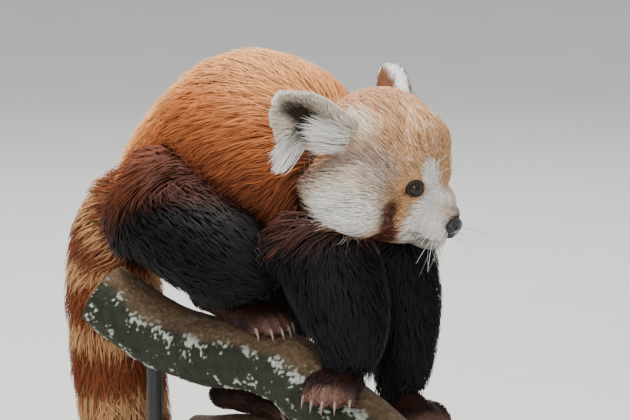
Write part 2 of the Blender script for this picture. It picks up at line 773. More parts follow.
def laid(ground, roots, normals, lie, length, height, shares, sink, hold=1.0):
    """Points along each tuft, which rises from its root and then lies over the surface, as closely as hold says."""
    lines = [roots - normals * sink]
    ups = [normals]
    for share in shares:
        ahead = roots + lie * (length * share)[:, None]
        foot, up = ground.nearest(ahead)
        gap = np.linalg.norm(foot - ahead, axis=1)
        pull = np.minimum(1, 0.5 * length * share / np.maximum(gap, 1e-6)) * hold
        up = unit(up * pull[:, None] + normals * (1.001 - pull)[:, None])
        rise = height * (1 - (1 - share) ** 2)
        lines.append(ahead + (foot - ahead) * pull[:, None] + up * rise[:, None])
        ups.append(up)
    return np.stack(lines, axis=1), np.stack(ups, axis=1)


def gathered(lines, roots, rng, per_clump, strength):
    """Draws the tips of neighbouring tufts together into locks, in place."""
    count = max(1, len(roots) // per_clump)
    chosen = rng.choice(len(roots), count, replace=False)
    tree = KDTree(count)
    for i, k in enumerate(chosen):
        tree.insert(roots[k].tolist(), i)
    tree.balance()
    mate = chosen[[tree.find(root)[1] for root in roots.tolist()]]
    reach = np.linspace(0, 1, lines.shape[1])[None, :, None] ** 1.6
    share = reach * strength
    lines += (lines[mate] - lines) * share * rng.uniform(0.6, 1.0, len(roots))[:, None, None]


PATCH = 0.003  # the size of each tuft's place on the bake map
SOFTNESS = 0.6  # how far each tuft is shaded as the soft surface that it lies on


def blade_faces(rings):
    """The faces of one closed blade: three corners at each ring and a point at the tip."""
    faces = [(0, 1, 2)]
    for r in range(rings - 1):
        for k in range(3):
            here, there = r * 3 + k, r * 3 + (k + 1) % 3
            faces.append((there, here, here + 3, there + 3))
    for k in range(3):
        here, there = (rings - 1) * 3 + k, (rings - 1) * 3 + (k + 1) % 3
        faces.append((there, here, rings * 3))
    return faces


def tuft_mesh(name, lines, ups, widths, colours, uv, soft):
    """One mesh of thin closed blades along the lines: three corners at each ring and a point at the tip."""
    count, rings, _ = lines.shape
    rings -= 1
    along = unit(np.diff(lines, axis=1))
    along = np.concatenate([along, along[:, -1:]], axis=1)
    side = unit(np.cross(along, ups))
    up = np.cross(side, along)
    profile = np.interp(np.arange(rings) / max(rings, 1), (0, 0.3, 0.65, 1), (0.85, 1.0, 0.72, 0.3))
    wide = widths[:, None] * profile[None, :]
    centre = lines[:, :rings]
    across = side[:, :rings] * (wide / 2)[:, :, None]
    high = up[:, :rings] * (wide * 0.38)[:, :, None]
    corners = np.stack([centre + across, centre + high, centre - across], axis=2).reshape(count, rings * 3, 3)
    points = np.concatenate([corners, lines[:, rings:]], axis=1)
    per = rings * 3 + 1
    faces = blade_faces(rings)
    loops = np.array([i for face in faces for i in face])
    totals = np.array([len(face) for face in faces])
    mesh = bpy.data.meshes.new(name)
    mesh.vertices.add(count * per)
    mesh.vertices.foreach_set("co", metres(points.reshape(-1, 3)).ravel())
    every = (loops[None, :] + (np.arange(count) * per)[:, None]).ravel()
    mesh.loops.add(len(every))
    mesh.loops.foreach_set("vertex_index", every.astype(np.int32))
    starts = np.concatenate([[0], np.cumsum(np.tile(totals, count))[:-1]])
    mesh.polygons.add(len(starts))
    mesh.polygons.foreach_set("loop_start", starts.astype(np.int32))
    mesh.update(calc_edges=True)
    ring_of = np.concatenate([np.repeat(np.arange(rings), 3), [rings]]) / rings
    across_of = np.concatenate([np.tile((0.5, 0.0, -0.5), rings), [0.0]])
    tint = np.interp(ring_of, (0, 0.4, 1), (0.5, 0.95, 1.15))
    shade = colours[:, None, :] * tint[None, :, None]
    paint_points(mesh, shade.reshape(-1, 3))
    spot = uv[:, None, :] + PATCH * np.stack([across_of, ring_of - 0.5], axis=1)[None, :, :]
    layer = mesh.uv_layers.new(name="OFBake")
    layer.uv.foreach_set("vector", spot.reshape(-1, 2)[every].ravel())
    mesh.polygons.foreach_set("use_smooth", np.ones(len(starts), bool))
    own = np.stack([side[:, :rings], up[:, :rings], -side[:, :rings]], axis=2).reshape(count, rings * 3, 3)
    own = np.concatenate([own, up[:, rings:]], axis=1)
    mesh.normals_split_custom_set_from_vertices(unit(own * (1 - SOFTNESS) + soft[:, None] * SOFTNESS).reshape(-1, 3))
    return mesh


def paint_points(mesh, colours):
    """Paints the corners of a mesh with what its material reads."""
    layer = mesh.color_attributes.new("Marks", "FLOAT_COLOR", "POINT")
    four = np.concatenate([colours, np.ones((len(colours), 1))], axis=1)
    layer.data.foreach_set("color", four.ravel())


def kept(obj, material, slot, *nodes):
    """Finishes a piece: its material, its body, the nodes it stands for and the record's slot."""
    obj.data.materials.clear()
    obj.data.materials.append(material)
    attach(obj, "root")
    if nodes:
        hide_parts(*nodes)
    return obj


def unwrapped(points, region):
    """A place on a plain unwrap of the skin for each root, from 0 to 1, by the part of the body it grows on."""
    if region == "tail":
        share, _, _, angle = along_route(points, TAIL)
        return np.stack([angle, share], axis=1)
    if region == "head":
        own = inside(HEAD, points)
        angle = np.arctan2(own[:, 1], own[:, 2] + 4) / (2 * math.pi) + 0.5
        return np.stack([angle, np.clip((own[:, 0] + 62) / 134, 0, 1)], axis=1)
    if region == "leg":
        best = np.full(len(points), 1e9)
        uv = np.zeros((len(points), 2))
        for i, (name, stations) in enumerate(LEGS.items()):
            place = foot_frame(name)
            end = outside(place, np.array([(FEET[name][2] * 0.7, 0, 4)]))[0]
            route = [*stations, (*place.translation, 22), (*end, 20)]
            share, apart, _, angle = along_route(points, route)
            nearer = apart < best
            best[nearer] = apart[nearer]
            uv[nearer] = np.stack([(i + 0.02 + 0.96 * angle) / len(LEGS), share], axis=1)[nearer]
        return uv
    angle = np.arctan2(points[:, 1] - 2, points[:, 2] - 345) / (2 * math.pi) + 0.5
    return np.stack([angle, np.clip((points[:, 0] + 140) / 290, 0, 1)], axis=1)


def away_from_features(roots):
    """Which tufts grow clear of the eyes, the nose and the line of the mouth, and how much shorter some must be."""
    keep = np.ones(len(roots), bool)
    short = np.ones(len(roots))
    for side in (1, -1):
        own = inside(eye_frame(side), roots)
        flat = np.hypot(own[:, 1] / (EYE_OPENING[0] + 1.7), own[:, 2] / (EYE_OPENING[1] + 1.7))
        keep &= (flat > 1) | (own[:, 0] < 0)
        near = np.where(own[:, 0] > 0, np.clip((flat - 1) / 1.2, 0.25, 1), 1)
        short = np.minimum(short, near)
    own = inside(HEAD, roots)
    nose = np.linalg.norm((own - NOSE_AT) / (np.array(NOSE_SIZE) + 0.6), axis=1)
    keep &= nose > 1
    own[:, 1] = np.abs(own[:, 1])
    keep &= strip(own, MOUTH_LINE, 1.7, 0.2) < 0.5
    return keep, short


COATS = {
    "back": dict(rings=3, per_clump=20, strength=0.50, jitter=0.17, wander=7.0, slot="coat_rust"),
    "tail": dict(rings=3, per_clump=20, strength=0.50, jitter=0.20, wander=6.0, slot="coat_rust"),
    "leg": dict(rings=2, per_clump=18, strength=0.35, jitter=0.18, wander=4.0, slot="coat_black"),
    "head": dict(rings=3, per_clump=12, strength=0.30, jitter=0.15, wander=3.0, slot="coat_face"),
    "face": dict(rings=2, per_clump=9, strength=0.20, jitter=0.16, wander=1.4, slot="coat_face"),
}
REGIONS = {"back": "torso", "face": "head"}
FROST = {"head": 0.22, "face": 0.12}  # how far some hairs of the head stand out pale or dark


def grown(ground, found, name, piece, keep, seed):
    """One piece of the coat, grown where keep is 1."""
    plan = COATS[name]
    rng = np.random.default_rng(seed)
    sizes = found["sizes"]
    corners, weights = scattered(ground, sizes[:, 3], rng, keep)
    roots = at(ground.points, corners, weights)
    length, width, height, _ = at(sizes, corners, weights).T
    clear, short = away_from_features(roots)
    corners, weights, roots = corners[clear], weights[clear], roots[clear]
    length, width, height = (length * short)[clear], width[clear], (height * short)[clear]
    count = len(roots)
    normals = unit(at(ground.normals, corners, weights))
    lie = at(found["lie"], corners, weights)
    lie = unit(lie + plan["jitter"] * rng.normal(size=lie.shape))
    lie = unit(lie - normals * (lie * normals).sum(1, keepdims=True))
    length = length * rng.uniform(0.70, 1.15, count)
    height = height * rng.uniform(0.65, 1.08, count)
    width = width * rng.uniform(0.75, 1.2, count)
    shares = np.arange(1, plan["rings"] + 1) / plan["rings"]
    hold = at(found["hold"], corners, weights)
    lines, ups = laid(ground, roots, normals, lie, length, height, shares, 0.8, hold)
    gathered(lines, roots, rng, plan["per_clump"], plan["strength"])
    share = {key: at(found[key], corners, weights) for key in ("head", "feet", "toes", "kinds", "tail")}
    share["tail"] = share["tail"] + 0.008 * rng.normal(size=count)
    strayed = roots + lie * (plan["wander"] * rng.normal(size=count))[:, None]
    colours = marked(strayed, share) * rng.uniform(0.80, 1.2, count)[:, None]
    odd = FROST.get(name, 0) * (rng.random(count) < 0.35)
    colours = np.where(rng.random(count)[:, None] < 0.5, mixed(colours, WHITE, odd), mixed(colours, BROWN, odd))
    soft = unit(normals + 0.35 * (ups[:, -1] - normals))
    uv = 0.01 + 0.98 * unwrapped(roots, REGIONS.get(name, name))
    mesh = tuft_mesh("coat_" + piece, lines, ups, width, colours, uv, soft)
    return placed("coat_" + piece, mesh)


# Materials


def new_material(name):
    """A material with its nodes and links."""
    material = bpy.data.materials.new(name)
    material.use_nodes = True
    return material, material.node_tree.nodes, material.node_tree.links


def group_of(name, inputs, outputs):
    """A shader node group with named sockets: its tree, and the nodes of its inputs and outputs."""
    tree = bpy.data.node_groups.new(name, "ShaderNodeTree")
    for label, kind, value in inputs:
        socket = tree.interface.new_socket(label, in_out="INPUT", socket_type=kind)
        if value is not None:
            socket.default_value = value
    for label, kind in outputs:
        tree.interface.new_socket(label, in_out="OUTPUT", socket_type=kind)
    return tree, tree.nodes.new("NodeGroupInput"), tree.nodes.new("NodeGroupOutput")


def fleck_group():
    """Breaks up a colour with soft flecks at a given size."""
    tree, give, take = group_of(
        "flecks",
        [
            ("Color", "NodeSocketColor", (1, 1, 1, 1)),
            ("Size", "NodeSocketFloat", 200.0),
            ("Amount", "NodeSocketFloat", 0.3),
        ],
        [("Color", "NodeSocketColor"), ("Mask", "NodeSocketFloat")],
    )
    nodes, links = tree.nodes, tree.links
    where = nodes.new("ShaderNodeTexCoord")
    speckle = nodes.new("ShaderNodeTexNoise")
    speckle.inputs["Detail"].default_value = 3
    links.new(where.outputs["Object"], speckle.inputs["Vector"])
    links.new(give.outputs["Size"], speckle.inputs["Scale"])
    spread = nodes.new("ShaderNodeMapRange")
    spread.inputs["From Min"].default_value = 0.3
    spread.inputs["From Max"].default_value = 0.7
    links.new(speckle.outputs["Fac"], spread.inputs["Value"])
    centred = nodes.new("ShaderNodeMath")
    centred.operation = "SUBTRACT"
    centred.inputs[1].default_value = 0.5
    links.new(spread.outputs["Result"], centred.inputs[0])
    scaled = nodes.new("ShaderNodeMath")
    scaled.operation = "MULTIPLY_ADD"
    scaled.inputs[2].default_value = 1.0
    links.new(centred.outputs[0], scaled.inputs[0])
    links.new(give.outputs["Amount"], scaled.inputs[1])
    tinted = nodes.new("ShaderNodeVectorMath")
    tinted.operation = "SCALE"
    links.new(give.outputs["Color"], tinted.inputs[0])
    links.new(scaled.outputs[0], tinted.inputs["Scale"])
    links.new(tinted.outputs[0], take.inputs["Color"])
    links.new(spread.outputs["Result"], take.inputs["Mask"])
    return tree


FLECKS = fleck_group()


def flecked(nodes, links, colour, size, amount):
    """Places the flecks group in a material; colour is a socket or a printed colour."""
    made = nodes.new("ShaderNodeGroup")
    made.node_tree = FLECKS
    made.inputs["Size"].default_value = size
    made.inputs["Amount"].default_value = amount
    if isinstance(colour, tuple):
        made.inputs["Color"].default_value = (*linear(colour), 1)
    else:
        links.new(colour, made.inputs["Color"])
    return made


def painted(nodes):
    """The colours painted on a piece's corners."""
    marks = nodes.new("ShaderNodeAttribute")
    marks.attribute_name = "Marks"
    return marks.outputs["Color"]


def blended(nodes, links, mask, low, high):
    """Two colours, the second laid over the first by a mask; each is a socket or a printed colour."""
    mix = nodes.new("ShaderNodeMix")
    mix.data_type = "RGBA"
    links.new(mask, mix.inputs["Factor"])
    for socket, colour in ((mix.inputs[6], low), (mix.inputs[7], high)):
        if isinstance(colour, tuple):
            socket.default_value = (*linear(colour), 1)
        else:
            links.new(colour, socket)
    return mix.outputs[2]


def raised(nodes, links, mask, shader, depth, strength=1.0):
    """Roughens a finish by a mask, to a depth in millimetres."""
    bump = nodes.new("ShaderNodeBump")
    bump.inputs["Strength"].default_value = strength
    bump.inputs["Distance"].default_value = depth * MM
    links.new(mask, bump.inputs["Height"])
    links.new(bump.outputs["Normal"], shader.inputs["Normal"])


def fur_material():
    """Hair: the coat's markings, slightly flecked."""
    material, nodes, links = new_material("fur")
    shader = nodes["Principled BSDF"]
    flecks = flecked(nodes, links, painted(nodes), 320.0, 0.25)
    links.new(flecks.outputs["Color"], shader.inputs["Base Color"])
    shader.inputs["Roughness"].default_value = 0.6
    shader.inputs["Specular IOR Level"].default_value = 0.22
    return material


def skin_material():
    """The skin under the coat, dark where the coat is deep, with the nap of short fur as bump."""
    material, nodes, links = new_material("skin")
    shader = nodes["Principled BSDF"]
    flecks = flecked(nodes, links, painted(nodes), 500.0, 0.5)
    links.new(flecks.outputs["Color"], shader.inputs["Base Color"])
    shader.inputs["Roughness"].default_value = 0.8
    shader.inputs["Specular IOR Level"].default_value = 0.2
    raised(nodes, links, flecks.outputs["Mask"], shader, 0.6, strength=0.6)
    return material


def plain_material(name, colour, roughness, fleck_size=300.0, fleck=0.3, bump_mm=0.0, coat=0.0):
    """A finish of one colour, broken up by flecks and, where asked, a fine bump."""
    material, nodes, links = new_material(name)
    shader = nodes["Principled BSDF"]
    flecks = flecked(nodes, links, colour, fleck_size, fleck)
    links.new(flecks.outputs["Color"], shader.inputs["Base Color"])
    shader.inputs["Roughness"].default_value = roughness
    shader.inputs["Coat Weight"].default_value = coat
    shader.inputs["Coat Roughness"].default_value = 0.1
    if bump_mm:
        raised(nodes, links, flecks.outputs["Mask"], shader, bump_mm)
    return material


# Eyes, nose, claws and whiskers


def smooth_object(name, points, faces):
    """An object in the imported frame, smooth-shaded, from corners in millimetres."""
    mesh = plain_mesh(name, metres(points), faces)
    mesh.shade_smooth()
    return placed(name, mesh)


def on_ball(r, theta, turn):
    """A place at a distance from the middle of an eye, an angle off its axis and a turn round it."""
    return (r * math.cos(theta), r * math.sin(theta) * math.cos(turn), r * math.sin(theta) * math.sin(turn))


# The eye's colours, by how far they lie from the middle of its front.
IRIS = [(0, (6, 5, 5)), (2.1, (6, 5, 5)), (2.4, (34, 20, 12)), (4.2, (52, 31, 18)), (5.0, (14, 10, 8)), (7, (8, 6, 6))]


def make_eye(side, name, material):
    """The ball of an eye with a pupil, a brown iris and a clear bulge of cornea in front."""
    place = eye_frame(side)
    rows, around = 40, 48
    polar = np.linspace(0, math.pi, rows)
    points = [(EYE_RADIUS + 0.25, 0.0, 0.0)]
    for theta in polar[1:-1]:
        bulge = 0.35 * math.exp(-((theta / 0.62) ** 4))
        for k in range(around):
            angle = 2 * math.pi * k / around
            r = EYE_RADIUS - 0.1 + bulge
            points.append(on_ball(r, theta, angle))
    points.append((-EYE_RADIUS + 0.1, 0.0, 0.0))
    points = np.array(points)
    faces = [(0, 1 + k, 1 + (k + 1) % around) for k in range(around)]
    for r in range(rows - 3):
        for k in range(around):
            here, there = 1 + r * around + k, 1 + r * around + (k + 1) % around
            faces.append((here, here + around, there + around, there))
    last, end = 1 + (rows - 3) * around, len(points) - 1
    faces += [(last + k, end, last + (k + 1) % around) for k in range(around)]
    obj = smooth_object(name + "_ball", outside(place, points), faces)
    flat = np.hypot(points[:, 1], points[:, 2])
    front = points[:, 0] > 0
    angle = np.arctan2(points[:, 2], points[:, 1])
    iris = ramp(np.where(front, flat, 9.0), IRIS)
    iris *= (1 + 0.25 * np.sin(angle * 23) * np.sin(angle * 9 + 1))[:, None]
    paint_points(obj.data, iris)
    return kept(obj, material, "eye", name)


def eye_material():
    """The wet ball of an eye, with the colours painted on it."""
    material, nodes, links = new_material("wet_eye")
    shader = nodes["Principled BSDF"]
    flecks = flecked(nodes, links, painted(nodes), 900.0, 0.3)
    links.new(flecks.outputs["Color"], shader.inputs["Base Color"])
    shader.inputs["Roughness"].default_value = 0.3
    shader.inputs["Specular IOR Level"].default_value = 0.1
    shader.inputs["Coat Weight"].default_value = 0.55
    shader.inputs["Coat Roughness"].default_value = 0.02
    return material


def make_lids(side, name, material):
    """The dark rims of the lids, which hug the ball and taper into the front corner of the eye."""
    place = eye_frame(side)
    around = 72
    section = [(6.9, -1), (7.3, -1), (7.75, 4), (7.9, 9), (7.6, 17), (6.9, 24), (6.2, 14)]
    points = []
    for k in range(around):
        angle = 2 * math.pi * k / around
        y, z = EYE_OPENING[0] * math.cos(angle), EYE_OPENING[1] * math.sin(angle)
        corner = max(0.0, -side * math.cos(angle + 0.35 * side)) ** 10
        y *= 1 + 0.22 * corner
        open_at = math.asin(min(0.97, math.hypot(y, z) / 7.05))
        way = math.atan2(z, y)
        upper = 1.0 + 0.25 * max(0.0, math.sin(angle))
        for radius, degrees in section:
            theta = open_at + math.radians(degrees * (0.8 + 0.3 * corner) * upper)
            r = EYE_RADIUS + (radius - EYE_RADIUS) * upper
            points.append(on_ball(r, theta, way))
    size = len(section)
    faces = []
    for k in range(around):
        for j in range(size):
            a, b = k * size + j, k * size + (j + 1) % size
            c, d = ((k + 1) % around) * size + (j + 1) % size, ((k + 1) % around) * size + j
            faces.append((a, b, c, d))
    return kept(smooth_object(name + "_lids", outside(place, points), faces), material, "coat_black")


def make_nose(material):
    """The nose pad with its two nostrils, the groove between them and a fold round each wing."""
    x, _, z = NOSE_AT
    shapes = [ball_shape(NOSE_AT, (6.6, 8.6, 6.8), HEAD)]
    shapes += [ball_shape((x + 1.2, side * 4.6, z - 0.8), (5.0, 4.6, 5.4), HEAD) for side in (1, -1)]
    shapes.append(ball_shape((x + 0.5, 0, z - 6), (4.6, 3.4, 5.0), HEAD))
    mesh = melted("nose_pad", shapes, 0.42, 4)
    points, _ = arrays_of(mesh)
    own = inside(HEAD, points)
    deep = np.zeros(len(own))
    for side in (1, -1):
        hole = [(x + 6.0, side * 3.4, z + 0.4), (x + 5.2, side * 5.4, z - 0.4), (x + 3.2, side * 7.4, z - 1.6)]
        deep = np.maximum(deep, 2.6 * strip(own, hole, 1.0, 0.7))
    groove = strip(own, [(x + 7, 0, z + 1), (x + 6, 0, z - 5), (x + 2, 0, z - 10)], 0.5, 0.6)
    deep = np.maximum(deep, 0.8 * groove)
    inward = unit(own - np.array((x - 2.0, 0, z)))
    own = own - inward * deep[:, None]
    mesh.vertices.foreach_set("co", metres(outside(HEAD, own)).ravel())
    mesh.shade_smooth()
    mesh.update()
    return kept(placed("nose_pad", mesh), material, "nose", "nose")


def make_claws(material):
    """Five curved horn claws on each foot, drawn to a point."""
    shapes = []
    for name in FEET:
        place = foot_frame(name)
        for start, reach, y in toe_places(name):
            stations = [
                (start + reach - 3, y * 1.08, 2.5, CLAW_RADIUS * 0.8),
                (start + reach + CLAW_LENGTH * 0.25, y * 1.10, 2.2, CLAW_RADIUS * 0.9),
                (start + reach + CLAW_LENGTH * 0.50, y * 1.12, -0.4, CLAW_RADIUS * 0.62),
                (start + reach + CLAW_LENGTH * 0.66, y * 1.14, -5.5, 0.2),
            ]
            line = smooth_line(stations, 6)
            points, faces = tube_shape(line[:, :3], line[:, 3], 12)
            points[:, 1] = line[:, 1].repeat(12) + (points[:, 1] - line[:, 1].repeat(12)) * 0.7
            shapes.append((outside(place, points), faces))
    return kept(smooth_object("claws", *joined(shapes)), material, "coat_black")


WHISKER_BEDS = [  # place, way, droop, length, how many and how thick
    ((57, 10, -16), (0.50, 0.84, 0.05), -0.12, 56, 8, 1.0),
    ((60, 7, -20), (0.75, 0.60, -0.25), -0.20, 38, 4, 0.8),
    ((40, 16, 24), (0.60, 0.30, 0.70), 0.16, 40, 4, 0.7),
    ((56, 5, -36), (0.35, 0.30, -0.85), 0.10, 16, 7, 0.45),
    ((14, 40, -34), (-0.10, 0.55, -0.80), -0.10, 34, 2, 0.8),
]


def make_whiskers(material):
    """Long whiskers on the muzzle, brows, cheeks and chin, each a fine tapered bristle with a bend of its own."""
    rng = np.random.default_rng(5)
    shapes = []
    for centre, way, droop, length, count, thick in WHISKER_BEDS:
        for side in (1, -1):
            for _ in range(count if side > 0 else (count + 1) // 2):
                root = np.array(centre, float) * (1, side, 1) + rng.normal(0, (2.6, 2.0, 2.4))
                lean = unit(np.array(way, float) * (1, side, 1) + rng.normal(0, 0.16, 3))
                reach = length * rng.uniform(0.75, 1.15)
                t = np.linspace(-0.08, 1, 12)[:, None]
                bend = np.array((0, 0, droop)) + rng.normal(0, 0.07, 3)
                line = root + lean * reach * t + bend * reach * t * np.abs(t)
                radii = np.interp(t[:, 0], (-0.1, 0.2, 1), (0.22, 0.19, 0.08)) * thick
                points, faces = tube_shape(line, radii, 5)
                shapes.append((outside(HEAD, points), faces))
    return kept(smooth_object("whiskers", *joined(shapes)), material, "coat_white")


# Ears


def ear_shaped(points, down):
    """Bends a plain cup into the ear's outline: narrow at the base, widest past the middle, rounded at the tip."""
    along, half, bend = zip(*EAR_OUTLINE)
    x = points[:, 0]
    round_ = 20.5 * np.sqrt(np.clip(1 - ((x - 24.4) / 36.0) ** 2, 0.02, 1))
    points[:, 1] *= np.interp(x, along, half) / round_
    points[:, 2] += 0.014 * points[:, 1] ** 2
    points[:, 1] += down * np.interp(x, along, bend)


def ear_skin(name):
    """A thin cupped ear, drawn in from the solid by its short fur."""
    down = 1 if name == "ear_right" else -1
    outer, faces = ball_shape((24.4, 0, 0), (34.5, 19.0, 6.5), across=56, down=36)
    hollow, dents = ball_shape((29.0, 0, 8.6), (26.5, 14.5, 9.0), across=48, down=30)
    objs = []
    for points, corners in ((outer, faces), (hollow, dents)):
        ear_shaped(points, down)
        objs.append(placed("ear_form", plain_mesh("ear_form", points, corners)))
    cut = objs[0].modifiers.new("cup", "BOOLEAN")
    cut.operation = "DIFFERENCE"
    cut.object = objs[1]
    melt = objs[0].modifiers.new("melt", "REMESH")
    melt.mode = "VOXEL"
    melt.voxel_size = 1.1
    soften = objs[0].modifiers.new("soften", "SMOOTH")
    soften.iterations = 5
    mesh = settled(objs[0])
    old = objs[1].data
    bpy.data.objects.remove(objs[1])
    bpy.data.meshes.remove(old)
    points, triangles = arrays_of(mesh)
    bpy.data.meshes.remove(mesh)
    return Ground(outside(ear_frame(name), points), triangles)


def grow_ear(name, materials):
    """The skin of an ear, its short fur, the long hair that lies across its cup and the white lock below it."""
    _, _, _, length, width = EARS[name]
    place = ear_frame(name)
    turn = np.array(place)[:3, :3]
    down = 1 if name == "ear_right" else -1
    ground = ear_skin(name)
    skin = smooth_object(name + "_skin", ground.points, ground.triangles.tolist())
    paint_points(skin.data, ear_marks(name, ground.points, ground.normals) * 0.7)
    kept(skin, materials["skin"], "coat_white", name)
    rng = np.random.default_rng(31 if down > 0 else 32)
    own = inside(place, ground.points)
    own[:, 1] *= down
    x, y, _ = own.T
    front = step(-0.1, 0.25, ground.normals @ turn[:, 2])
    edge = ear_edge(own, 1)
    lock = front * blob(own * (1, 1, 0), (32, 23, 0), (10, 8, 1), 0.4)
    across = front * blob(own * (1, 1, 0), (4, 6, 0), (9, 9, 1), 0.4)
    outward = np.stack([0.6 + 0.4 * (x > 40), 0.9 * np.sign(y - 3) * step(0.2, 0.8, edge), 0 * x], axis=1)
    outward[:, 1] *= down
    lie = unit(outward @ turn.T)
    reach_at = 6.5 + 2.0 * front + 24.0 * lock + 20.0 * across
    rise_at = 2.2 + 0.8 * front + 2.0 * lock + 7.0 * across
    spacing = 0.95 + 0.25 * lock
    corners, weights = scattered(ground, spacing, rng)
    roots = at(ground.points, corners, weights)
    normals = unit(at(ground.normals, corners, weights))
    count = len(roots)
    way = at(lie, corners, weights)
    hang = at(lock, corners, weights)[:, None]
    sweep = at(across, corners, weights)[:, None]
    hung = turn @ np.array((0.25, 0.95 * down, -0.02))
    swept = turn @ np.array((0.97, 0.10 * down, 0.22))
    way = unit(way * (1 - hang) * (1 - sweep) + hung * hang + swept * sweep)
    way = unit(way + 0.12 * rng.normal(size=way.shape))
    flat = way - normals * (way * normals).sum(1, keepdims=True)
    way = unit(flat * (1 - hang) + way * hang)
    reach = at(reach_at, corners, weights) * rng.uniform(0.7, 1.1, count)
    rise = at(rise_at, corners, weights) * rng.uniform(0.6, 1.1, count)
    shares = np.arange(1, 4) / 3
    free = (hang + sweep)[:, 0] > 0.5
    lines, ups = laid(ground, roots, normals, way, reach, rise, shares, 0.6)
    straight = roots[:, None] + way[:, None] * (reach[:, None] * shares[None])[:, :, None]
    straight = straight + normals[:, None] * (rise[:, None] * (1 - (1 - shares[None]) ** 2))[:, :, None]
    lines[free, 1:] = straight[free]
    tip = roots[np.argmin(np.abs(inside(place, roots) - (30, 22 * down, 3)).sum(1))] + hung * 27
    draw = hang[:, :, None] * 0.6 * np.array((0, 0.25, 0.6, 0.9))[None, :, None]
    lines = lines + (tip - lines) * draw * (reach[:, None, None] > 20)
    gathered(lines, roots, rng, 12, 0.25)
    shade = ear_marks(name, roots + way * (1.5 * rng.normal(size=count))[:, None], normals)
    shade = shade + (linear(WHITE) - shade) * np.clip(hang + sweep, 0, 1)
    shade = shade * rng.uniform(0.85, 1.12, count)[:, None]
    spot = inside(place, roots)
    u = np.clip(spot[:, 0] / (length * 2.6) + 0.1, 0, 0.49)
    uv = np.stack([u, np.clip(spot[:, 1] / (width * 1.5) + 0.5, 0, 1)], axis=1)
    uv[:, 0] += 0.5 * (normals @ turn[:, 2] < 0)
    widths = 0.75 * rng.uniform(0.8, 1.15, count)
    mesh = tuft_mesh("coat_" + name, lines, ups, widths, shade, 0.01 + 0.98 * uv, normals)
    kept(placed("coat_" + name, mesh), materials["fur"], "coat_white")


# Branch


def bark_relief(points, up, angle, lengthwise, knobs, seed):
    """How far the bark stands out at each corner of a limb, and where it is worn and where lichen grows."""
    ridge = np.stack([np.cos(angle) * 3.2, np.sin(angle) * 3.2, lengthwise * 0.09], axis=1)
    grain = soft_noise(ridge, 1.0, seed)
    fine = soft_noise(points, 2.2, seed + 1)
    lumps = soft_noise(points, 22.0, seed + 2)
    crust = 0.7 * soft_noise(points, 9.0, seed + 3) + 0.7 * soft_noise(points, 2.6, seed + 4)
    worn = step(0.35, 0.75, up + 0.18 * lumps)
    ridge_line = np.exp(-(((up - 0.38) / 0.16) ** 2))
    lichen = step(0.36, 0.56, crust + 0.30 * lumps + 0.30 * ridge_line) * (1 - 0.85 * worn)
    rise = 0.9 * lumps + 0.55 * grain * (1 - 0.6 * worn) + 0.35 * fine + 0.8 * lichen
    for centre, size in knobs:
        off = points - np.array(centre, float)
        rise = rise + 0.62 * size * np.exp(-((off**2).sum(1)) / (0.8 * size) ** 2)
    return rise, worn, lichen


def make_limb(name, stations, knobs, seed, materials):
    """A limb of the branch: bark in ridges and pits, moss on its flanks and raised crusts of lichen."""
    line = smooth_line(stations, 44)
    around = 150
    radius = line[:, 3] - 0.6
    points, faces = tube_shape(line[:, :3], radius, around)
    count = len(line)
    spokes = unit(points.reshape(count, around, 3) - line[:, None, :3])
    flat = spokes.reshape(-1, 3)
    lengthwise = np.linspace(0, len(stations) * 10.0, count).repeat(around)
    angle = np.tile(np.arange(around) * 2 * math.pi / around, count)
    rise, worn, lichen = bark_relief(points, flat[:, 2], angle, lengthwise, knobs, seed)
    ends = np.zeros(count)
    ends[[0, -1]] = 1
    rise *= 1 - ends.repeat(around)
    shaped = points + flat * rise[:, None]
    faces = faces[:-2]
    sides = len(faces)
    tone = np.stack([worn, lichen, np.ones_like(worn)], axis=1)
    for ring in (range(around), range(around * (count - 1), around * count)):
        shaped, tone = sawn_end(shaped, tone, faces, list(ring))
    obj = smooth_object(name, shaped, faces)
    paint_points(obj.data, tone)
    kept(obj, materials["bark"], "bark", name.replace("branch", "perch_limb"))
    obj.data.materials.append(materials["cut_wood"])
    for face in obj.data.polygons[sides:]:
        face.material_index = 1
        face.use_smooth = False
    return obj


def sawn_end(points, tone, faces, ring):
    """Closes a limb with a sawn end: rings of corners in to the pith, each telling how far out it lies."""
    edge = points[ring]
    centre = edge.mean(axis=0) + 0.12 * (edge[0] - edge.mean(axis=0))
    outward = 1 if ring[0] else -1
    layers = [ring]
    for share in np.linspace(0.93, 0.08, 12):
        start = len(points)
        points = np.vstack([points, centre + (edge - centre) * share])
        tone = np.vstack([tone, np.tile((share, 0.0, 0.0), (len(ring), 1))])
        layers.append(list(range(start, start + len(ring))))
    points = np.vstack([points, centre])
    tone = np.vstack([tone, (0.0, 0.0, 0.0)])
    for outer, inner in zip(layers, layers[1:]):
        for k in range(len(ring)):
            quad = (outer[k], outer[k - 1], inner[k - 1], inner[k])
            faces.append(quad if outward < 0 else quad[::-1])
    for k in range(len(ring)):
        wedge = (layers[-1][k], layers[-1][k - 1], len(points) - 1)
        faces.append(wedge if outward < 0 else wedge[::-1])
    return points, tone


RING_WAVES = 70.0  # radians of growth rings from the pith to the bark
SAWN_PALE, SAWN_DARK = (168, 136, 98), (128, 96, 62)
MOSS, WORN_BARK, LICHEN = (27, 31, 13), (98, 76, 52), (176, 182, 170)


